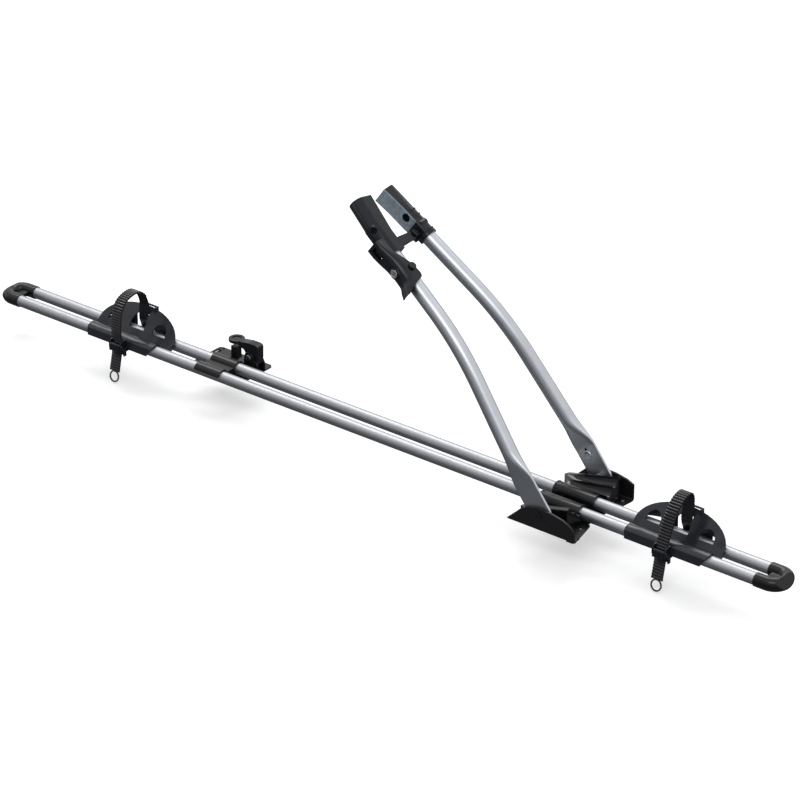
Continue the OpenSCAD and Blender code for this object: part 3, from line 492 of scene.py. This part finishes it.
# %% Dimple of the far blade
def turned_profile(frame_matrix, profile, count=64):
    """Profile of (radius, height) carried round the frame's Y axis."""
    a = ring_angles(count)
    profile = np.asarray(profile, float)
    r, h = profile[:, 0][:, None], profile[:, 1][:, None]
    return placed(frame_matrix, np.stack([r * np.sin(a), h + 0 * a, r * np.cos(a)], -1))


def blade_mark(name, x, z, profile, coat):
    """Turned profile on the inner face of the far blade, at x up the arm and z across it."""
    place = arm_foot(1) @ moved(x, BLADE_T / 2, z)
    points, faces = loft(turned_profile(place, profile), caps=(True, True))
    piece(name, points, faces, "arm_far", stands_for=False, coat=coat)


DIMPLE_X, DIMPLE_Z = 36.5, -2.0
blade_mark("blade_dimple", DIMPLE_X, DIMPLE_Z,
           [(6.6, -1.2), (6.6, 0.02), (5.9, 0.8), (5.3, 0.8), (4.2, 0.2), (1.0, 0.08)],
           "arm_tube")
# Painted shade: a thin near-black disc where the drain hole is.
blade_mark("drain_hole_shade", DIMPLE_X + 9, DIMPLE_Z + 2, [(2.1, -1.5), (2.1, 0.2), (1.8, 0.25)],
           "painted_shade")
print("dimple", DIMPLE_X, "mm up the blade")

# %% [markdown]
# The tension lever is an arched channel that straddles the near arm. Its section is given at
# eleven stations down the arm and eased between them. A slot in its roof lets the end of the
# rack pass when the jaws close on a thin tube.

# %% Tension lever
LEVER_STATIONS = np.array([
    [71, 26.5, 13, 3, 13], [84, 26.5, 14, 6, 12.5], [97, 24.8, 15, 9.5, 9.5],
    [110, 22.6, 15.5, 12.5, 2.6], [122, 21, 15.5, 13, -4], [134, 20.6, 15.5, 13, -6.5],
    [143, 21.8, 15.3, 13, -7], [147.5, 24, 15, 12, -3], [150.5, 26, 14.5, 11, 8],
    [156, 28.8, 12, 7.5, 20], [161.5, 32, 8.5, 3, 28]])
LEVER_WALL = 2.4
SLOT_FROM, SLOT_TO, SLOT_HALF = 76.2, 94.2, 5.3
# Thickness, top and depth of the near-black walls hung in the slot as its painted shade.
SLOT_SHADE_THICK, SLOT_SHADE_TOP, SLOT_SHADE_DEPTH = 0.8, 23.6, 4


def smooth_rows(table, at):
    """Rows of a table at places along its first column. Between two rows runs a cubic whose
    slopes at its ends come from the neighbouring rows."""
    s = table[:, 0]
    k = np.clip(np.searchsorted(s, at, side="right") - 1, 0, len(s) - 2)
    t = ((at - s[k]) / (s[k + 1] - s[k]))[:, None]
    slope = np.gradient(table, s, axis=0)
    span = (s[k + 1] - s[k])[:, None]
    return ((2 * t ** 3 - 3 * t ** 2 + 1) * table[k]
            + (t ** 3 - 2 * t ** 2 + t) * span * slope[k]
            + (3 * t ** 2 - 2 * t ** 3) * table[k + 1]
            + (t ** 3 - t ** 2) * span * slope[k + 1])


def arch(rows, wall):
    """Across each station: up one cheek, round the corner, over the roof and down again.
    The corner is a quarter circle of the station's radius, less the wall on the inside."""
    _, roof, half, radius, edge = rows.T
    roof, half = roof - wall, half - wall
    radius = np.maximum(radius - wall, 0.6)
    up = np.linspace(0, 1, 7)[:, None]
    quarter = np.linspace(0, math.pi / 2, 9)[1:, None]
    cheek = np.stack([edge + up * (roof - radius - edge), half + 0 * up], -1)
    corner = np.stack([roof - radius + radius * np.sin(quarter),
                       half - radius + radius * np.cos(quarter)], -1)
    side = np.concatenate([cheek, corner])
    flat = np.array([1.0, 0.4])[:, None]
    slot_edge = np.minimum(SLOT_HALF, half - radius)
    roof_half = np.stack([roof + 0 * flat, slot_edge * flat], -1)
    half_arch = np.concatenate([side, roof_half])
    other = half_arch[::-1] * [1, -1]
    return np.concatenate([half_arch, other]).transpose(1, 0, 2)


def tension_lever():
    first, last = LEVER_STATIONS[0, 0], LEVER_STATIONS[-1, 0]
    stations = np.unique(np.concatenate([np.linspace(first, last, 46), [SLOT_FROM, SLOT_TO]]))
    rows = smooth_rows(LEVER_STATIONS, stations)
    rows[:, 0] = stations
    skins = []
    for wall in (0, LEVER_WALL):
        yz = arch(rows, wall)
        x = np.broadcast_to(-stations[:, None, None], yz.shape[:2] + (1,))
        skins.append(placed(arm_head(-1), np.concatenate([x, yz], -1)))
    middle = skins[0].shape[1] // 2
    keep = np.ones((len(stations) - 1, skins[0].shape[1] - 1), bool)
    in_slot = (stations[:-1] >= SLOT_FROM) & (stations[:-1] < SLOT_TO)
    keep[in_slot, middle - 2:middle + 1] = False
    points, faces = shell(skins[0], skins[1], keep)
    made = piece("lever_shell", points, faces, "tension_lever", smooth_deg=40)
    edges = made.modifiers.new("edges", "BEVEL")
    edges.width = 0.5 * MM
    edges.segments = 2
    edges.angle_limit = math.radians(40)
    return made


def slot_shade_walls():
    """Four near-black walls that hang from the slot's edge: a dark sheet put in the slot as its
    painted shade, which hides the bright arm below. They lean with the rack, so the place s down
    the arm falls by tan(lean) for each millimetre of depth."""
    out_s, out_z = np.array([-1, -1, 1, 1, -1]), np.array([-1, 1, 1, -1, -1])
    corner_s = np.where(out_s < 0, SLOT_FROM, SLOT_TO)
    skins = []
    for offset in (SLOT_SHADE_THICK, 0):
        z = out_z * (SLOT_HALF + offset)
        rings = [np.stack([-(corner_s + out_s * offset - depth * math.tan(LEAN)),
                           np.full(len(z), SLOT_SHADE_TOP - depth), z], -1)
                 for depth in (0, SLOT_SHADE_DEPTH)]
        skins.append(placed(arm_head(-1), rings))
    points, faces = shell(*skins)
    piece("slot_shade_walls", points, faces, "tension_lever", stands_for=False, coat="painted_shade")


tension_lever()
slot_shade_walls()
print("lever", len(LEVER_STATIONS), "stations")

# %% [markdown]
# The lock sits in a round boss on the lever's roof. The boss is a profile turned about the
# lock's own axis: a foot that sinks into the roof, a wall, and a soft lip round the barrel.

# %% Lock boss
LOCK_S = 122.0

lock_frame = arm_head(-1) @ moved(-LOCK_S, 0, 0)
points, faces = loft(turned_profile(lock_frame, [
    (6.35, 17.2), (9.4, 17.2), (8.6, 19.2), (8.2, 21.8), (7.9, 22.5), (7.4, 22.8),
    (6.8, 22.8), (6.45, 22.5), (6.35, 22.0), (6.35, 17.2)]), caps=(False, False))
piece("lock_boss", points, faces, "tension_lever", stands_for=False)
print("lock boss round the barrel at", LOCK_S, "mm down the arm")

# %% [markdown]
# Ratchet straps. A strap is a band carried along a route in a plane across the tubes.
# Its teeth are part of the height: one rounded ridge each pitch, on the side that faces out.
# The tail ends in a round eye, which is a flat ring.

# %% Strap routes
STRAP_X, STRAP_W, STRAP_T = 1.0, 19.0, 1.6
TOOTH_PITCH, TOOTH_H, TOOTHED = 4.4, 1.5, 168.0
EYE_R, EYE_T, EYE_LEAN = 7.0, 0.95, math.radians(-12)
UNDER = [(25.9, -8.2), (18.3, -11.2), (6, -12), (-18, -12), (-30.4, -12)]
ROUTES = {
    "front": [(-44, -42), (-39.4, -22), (-35.6, -5), (-34.4, 6), (-30, 18), (-21.6, 35),
              (-12, 52), (0, 64.4), (12, 69), (22, 68), (26.6, 59), (26.4, 42), (24, 27),
              (25.4, 16), (28.6, 7.6), (29.6, -1)] + UNDER,
    "rear": [(-44, -42), (-39.4, -22), (-35.6, -5), (-35, 6), (-37.4, 22), (-36, 43),
             (-33, 56), (-24, 69), (-7, 75), (7, 74.2), (19, 65), (26, 49), (25.4, 33),
             (25, 20), (28.4, 9), (29.6, -1)] + UNDER,
}
TRAY_X = {"front": 180.3, "rear": -837.7}
RAIL_Z = 16.0


def smooth_route(points, steps=12):
    """Catmull-Rom curve: each step blends the directions of the neighbouring points."""
    p = np.asarray(points, float)
    p = np.vstack([p[:1], p, p[-1:]])
    t = (np.arange(steps) / steps)[:, None, None]
    a, b, c, d = p[:-3], p[1:-2], p[2:-1], p[3:]
    curve = 0.5 * (2 * b + (c - a) * t + (2 * a - 5 * b + 4 * c - d) * t ** 2
                   + (3 * b - a - 3 * c + d) * t ** 3)
    return np.vstack([curve.transpose(1, 0, 2).reshape(-1, 2), p[-1:]])


def strap(which):
    """Section: a band with soft corners. Height of its outer face at a distance s along the
    route is half the thickness plus the tooth height x sin(180 x phase) ^ 0.8."""
    route = smooth_route(ROUTES[which])
    run = np.concatenate([[0], np.cumsum(np.linalg.norm(np.diff(route, axis=0), axis=1))])
    teeth = np.arange(int(TOOTHED / TOOTH_PITCH))[:, None]
    phase = np.array([0.02, 0.1, 0.22, 0.36, 0.5, 0.64, 0.78, 0.9])
    marks = (teeth + phase).ravel() * TOOTH_PITCH
    rise = np.tile(np.sin(np.pi * phase) ** 0.8, len(teeth)) * TOOTH_H
    rest = np.arange(marks[-1] + 1.5, run[-1], 1.5)
    s = np.concatenate([marks, rest])
    rise = np.concatenate([rise, 0 * rest])
    centre = np.stack([np.interp(s, run, route[:, i]) for i in (0, 1)], -1)
    ahead = np.stack([np.interp(s + 0.5, run, route[:, i])
                      - np.interp(s - 0.5, run, route[:, i]) for i in (0, 1)], -1)
    ahead /= np.linalg.norm(ahead, axis=1)[:, None]
    left = np.stack([-ahead[:, 1], ahead[:, 0]], -1)
    w, h, soft = STRAP_W / 2, STRAP_T / 2, 0.35
    across = np.array([-w + soft, w - soft, w, w, w - 0.2, w - 0.9,
                       -w + 0.9, -w + 0.2, -w, -w])
    top = np.array([0, 0, 0, 0, 1, 1, 1, 1, 0, 0])
    base = np.array([-h, -h, -h + soft, h - soft, h - 0.15, h, h, h - 0.15, h - soft,
                     -h + soft])
    up = base[None, :] + top[None, :] * rise[:, None]
    yz = centre[:, None, :] + left[:, None, :] * up[:, :, None]
    x = np.broadcast_to(across + STRAP_X + TRAY_X[which], up.shape)
    rings = np.concatenate([x[..., None], yz[..., :1], yz[..., 1:] + RAIL_Z], -1)
    points, faces = loft(rings[:, ::-1])
    node = which + "_strap"
    piece("toothed_" + node, points, faces, node, smooth_deg=30)


def strap_eye(which):
    """Flat ring: a rounded rectangle section carried round a circle."""
    y, z = ROUTES[which][0]
    place = (moved(STRAP_X + TRAY_X[which], y, z + RAIL_Z) @ turned(0, EYE_LEAN)
             @ moved(0, 0, -8.4))
    inside, outside, thick, soft = EYE_R, STRAP_W / 2, EYE_T, 0.4
    profile = [(inside, -thick + soft), (inside, thick - soft), (inside + soft, thick),
               (outside - soft, thick), (outside, thick - soft), (outside, -thick + soft),
               (outside - soft, -thick), (inside + soft, -thick), (inside, -thick + soft)]
    points, faces = loft(turned_profile(place, profile[::-1]), caps=(False, False))
    piece("strap_eye_" + which, points, faces, which + "_strap", stands_for=False)


for which in TRAY_X:
    strap(which)
    strap_eye(which)
print("straps", STRAP_W, "mm wide with", int(TOOTHED / TOOTH_PITCH), "teeth each")

# %% [markdown]
# The end caps are soft U shapes with a flat facet on the nose. The body is a circle carried
# round a U. The facet is a smooth minimum between the round nose and a leaning plane, so
# its edge is rounded as it comes out of the mould.

# %% End caps
CARRIER_LEN, CAP_LEN, CAP_R, RAIL_Y, MID_X = 1470.0, 42.5, 10.4, 18.25, -364.7
FACET_SET_BACK, FACET_Z, FACET_LEAN, FACET_SOFT = 1.4, -5, math.radians(24), 0.8
WEB_HALF, WEB_DISH = 12, 1.2


def smooth_min(a, b, soft):
    """Minimum of a and b whose corner is rounded over the distance soft."""
    h = np.clip(0.5 + 0.5 * (b - a) / soft, 0, 1)
    return b * (1 - h) + a * h - soft * h * (1 - h)


def end_cap(node, direction):
    """Path: leg, half circle, leg. Then x = smooth minimum of x and the facet's plane."""
    bend_x = CAP_LEN + 3.5 - CAP_R - RAIL_Y
    a = ring_angles(64)
    turn = np.linspace(-math.pi / 2, math.pi / 2, 49)
    centre = np.concatenate([
        [[x, -RAIL_Y] for x in (1.2, 0.3, 0, 0, 0.4, 1.2, 4, bend_x * 0.6)],
        np.stack([bend_x + RAIL_Y * np.cos(turn), RAIL_Y * np.sin(turn)], -1),
        [[x, RAIL_Y] for x in (bend_x * 0.6, 4, 1.2, 0.4, 0, 0, 0.3, 1.2)]])
    across = np.concatenate([[[0, -1]] * 8, np.stack([np.cos(turn), np.sin(turn)], -1),
                             [[0, 1]] * 8])
    lip = [9.15, 9.2, 9.5, CAP_R - 0.6, CAP_R - 0.1, CAP_R, CAP_R, CAP_R]
    radius = np.array(lip + [CAP_R] * len(turn) + lip[::-1])[:, None]
    xy = centre[:, None, :] + across[:, None, :] * (radius * np.cos(a))[..., None]
    z = radius * np.sin(a)
    plane = CAP_LEN - FACET_SET_BACK - (z - FACET_Z) * math.tan(FACET_LEAN)
    x = smooth_min(xy[..., 0], plane, FACET_SOFT)
    side = np.stack([x, xy[..., 1], z], -1)
    place = (moved(MID_X, 0, RAIL_Z) @ np.diag([direction, 1.0, 1.0, 1.0])
             @ moved(CARRIER_LEN / 2 - CAP_LEN, 0, 0))
    rings = placed(place, side)
    points, faces = loft(rings if direction < 0 else rings[:, ::-1], caps=(False, False))
    piece("round_" + node, points, faces, node, smooth_deg=50)
    web_x, web_y = np.meshgrid(np.linspace(9, bend_x + 6, 14),
                               np.linspace(-WEB_HALF, WEB_HALF, 14), indexing="ij")
    dish = WEB_DISH * (1 - (web_y / WEB_HALF) ** 2)
    skins = [placed(place, np.stack([web_x, web_y, height + 0 * web_x], -1))
             for height in (3.5 - dish, -4.5 + dish)]
    if direction < 0:
        skins = skins[::-1]
    points, faces = shell(*skins)
    piece("web_" + node, points, faces, node, stands_for=False)


end_cap("end_cap_front", 1)
end_cap("end_cap_rear", -1)
print("caps", CAP_LEN, "mm long")

# %% [markdown]
# The gussets that prop the arms are wedges with ribs that fan out from the nose. Each section
# runs from the outer wall over a narrow top land and down a slope to the inner wall. The
# slope is hollowed between three ribs, deeper towards the open end.

# %% Gussets
RIB_H, RIB_WIDTH, SCALLOP = 1.7, 0.03, 5.4
GUSSET_FOOT, GUSSET_END = -11.0, 39.0
GUSSET_NOSE = {-1: -47.0, 1: -55.0}


def gusset(side):
    """Sections across X from the nose to the end: land rises with x, and the slope sinks by
    depth x |sin(2 pi v)| between ribs at v = 0, 1/2 and 1, each rib a bell of height RIB_H."""
    low = GUSSET_FOOT
    f = np.linspace(0, 1, 40)
    x = GUSSET_NOSE[side] + (GUSSET_END - GUSSET_NOSE[side]) * f
    round_nose = np.sqrt(np.clip(1 - (1 - np.clip(f / 0.09, 0, 1)) ** 2, 0.02, 1))
    outer = 57 + (5.0 + 2.0 * f) * round_nose
    land_in = 57 - 3.0 * round_nose + 4.0 * f
    reach = ease(np.clip(f / 0.26, 0, 1))
    inner = 57 - 5.0 * round_nose - 20.5 * reach
    top = 3.5 + 23.0 * f - 0.8 * (1 - round_nose)
    inner_top = 2.6 - 2.6 * reach + 7.0 * f
    v = np.linspace(0, 1, 121)
    y = land_in[:, None] + (inner - land_in)[:, None] * v
    z = top[:, None] + (inner_top - top)[:, None] * v
    scallop = SCALLOP * ease(f * 1.8)[:, None] * np.abs(np.sin(2 * math.pi * v)) ** 0.62
    z = z - scallop * np.clip((z - low - 3) / 6, 0, 1)
    rib = np.exp(-((v[:, None] - np.array([0.0, 0.5, 1.0])) / RIB_WIDTH) ** 2).sum(1)
    z = z + RIB_H * rib * ease(f * 2)[:, None]
    bottom = np.full(len(f), low)
    ring_y = np.concatenate([outer[:, None], outer[:, None], outer[:, None] - 0.7, y,
                             inner[:, None]], 1)
    ring_z = np.concatenate([bottom[:, None], (top - 0.7)[:, None], top[:, None], z,
                             bottom[:, None]], 1)
    rings = np.stack([np.broadcast_to(x[:, None], ring_y.shape), side * ring_y,
                      ring_z + RAIL_Z], -1)
    points, faces = loft(rings if side < 0 else rings[:, ::-1])
    node = "gusset_near" if side < 0 else "gusset_far"
    piece("ribbed_" + node, points, faces, node, smooth_deg=28)


for side in (-1, 1):
    gusset(side)
print("gussets with 3 ribs each")

# %% [markdown]
# The studio. The floor and the world show white to the camera and to shiny metal, and the
# floor keeps a soft shadow. A dark card on the floor and a grey one beside it, seen only in
# reflections, give the tubes the dark lower edge that a photographer's flags give them.

# %% Studio
FLOOR_Z = cad_box[0][2] - 0.002
FLOOR_HALF, FLOOR_GLOW, SKY_FOR_LIGHT = 9, 0.5, 0.5
DARK_CARD, GREY_CARD = 0.13, 0.4


def stage_plane(name, corners, material):
    mesh = bpy.data.meshes.new(name)
    mesh.from_pydata([tuple(c) for c in corners], [], [(0, 1, 2, 3)])
    mesh.materials.append(material)
    made = bpy.data.objects.new(name, mesh)
    bpy.context.scene.collection.objects.link(made)
    return made


def bright_to_camera(tree, plain, shown):
    """Mixes two shaders: shown for camera, glossy and transmission rays, plain for the rest."""
    nodes, links = tree.nodes, tree.links
    path = nodes.new("ShaderNodeLightPath")
    total = path.outputs["Is Camera Ray"]
    for other in ("Is Glossy Ray", "Is Transmission Ray"):
        either = nodes.new("ShaderNodeMath")
        either.operation = "MAXIMUM"
        links.new(total, either.inputs[0])
        links.new(path.outputs[other], either.inputs[1])
        total = either.outputs[0]
    mix = nodes.new("ShaderNodeMixShader")
    links.new(total, mix.inputs["Fac"])
    links.new(plain, mix.inputs[1])
    links.new(shown, mix.inputs[2])
    return mix.outputs["Shader"]


floor_paint = bpy.data.materials.new("floor_paint")
floor_paint.use_nodes = True
tree = floor_paint.node_tree
tree.nodes.remove(tree.nodes["Principled BSDF"])
matt = tree.nodes.new("ShaderNodeBsdfDiffuse")
matt.inputs["Color"].default_value = (0.8, 0.8, 0.8, 1)
glow = tree.nodes.new("ShaderNodeEmission")
glow.inputs["Strength"].default_value = FLOOR_GLOW
both = tree.nodes.new("ShaderNodeAddShader")
tree.links.new(matt.outputs[0], both.inputs[0])
tree.links.new(glow.outputs[0], both.inputs[1])
tree.links.new(bright_to_camera(tree, matt.outputs[0], both.outputs[0]),
               tree.nodes["Material Output"].inputs["Surface"])
stage_plane("floor", [(x * FLOOR_HALF, y * FLOOR_HALF, FLOOR_Z)
                      for x, y in ((-1, -1), (1, -1), (1, 1), (-1, 1))], floor_paint)


def card_paint(name, grey):
    """Plain light of one grey, which only reflections see."""
    material = bpy.data.materials.new(name)
    material.use_nodes = True
    tree = material.node_tree
    tree.nodes.remove(tree.nodes["Principled BSDF"])
    plain = tree.nodes.new("ShaderNodeEmission")
    plain.inputs["Color"].default_value = (grey, grey * 1.02, grey * 1.06, 1)
    tree.links.new(plain.outputs[0], tree.nodes["Material Output"].inputs["Surface"])
    return material


CARD_Y, CARD_TOP = -2.6, 2.4
low_card = FLOOR_Z + 0.02
cards = [
    stage_plane("floor_card", [(-4, CARD_Y, low_card), (4, CARD_Y, low_card),
                               (4, 1.2, low_card), (-4, 1.2, low_card)],
                card_paint("dark_card", DARK_CARD)),
    stage_plane("side_card", [(-4, CARD_Y, low_card), (6, CARD_Y, low_card),
                              (6, CARD_Y, CARD_TOP), (-4, CARD_Y, CARD_TOP)],
                card_paint("grey_card", GREY_CARD))]
for card in cards:
    for ray in ("camera", "diffuse", "shadow", "transmission", "volume_scatter"):
        setattr(card, "visible_" + ray, False)

world = bpy.data.worlds.new("studio")
bpy.context.scene.world = world
world.use_nodes = True
tree = world.node_tree
plain_sky = tree.nodes["Background"]
plain_sky.inputs["Color"].default_value = (0.97, 0.98, 1, 1)
plain_sky.inputs["Strength"].default_value = SKY_FOR_LIGHT
white_sky = tree.nodes.new("ShaderNodeBackground")
white_sky.inputs["Color"].default_value = (1, 1, 1, 1)
tree.links.new(bright_to_camera(tree, plain_sky.outputs[0], white_sky.outputs[0]),
               tree.nodes["World Output"].inputs["Surface"])


def lamp(name, place, aim, size, watts):
    data = bpy.data.lights.new(name, "AREA")
    data.shape = "RECTANGLE"
    data.size, data.size_y = size
    data.energy = watts
    made = bpy.data.objects.new(name, data)
    made.location = place
    made.rotation_euler = (Vector(place) - Vector(aim)).to_track_quat("Z", "Y").to_euler()
    bpy.context.scene.collection.objects.link(made)


lamp("key", (-1.6, 1.3, 2.6), (-0.7, 0, 0.1), (3.6, 1.0), 56)
lamp("front_fill", (0.9, -1.9, 2.6), (-0.3, 0, 0.1), (1.8, 0.8), 20)
print("floor at", round(FLOOR_Z, 3))
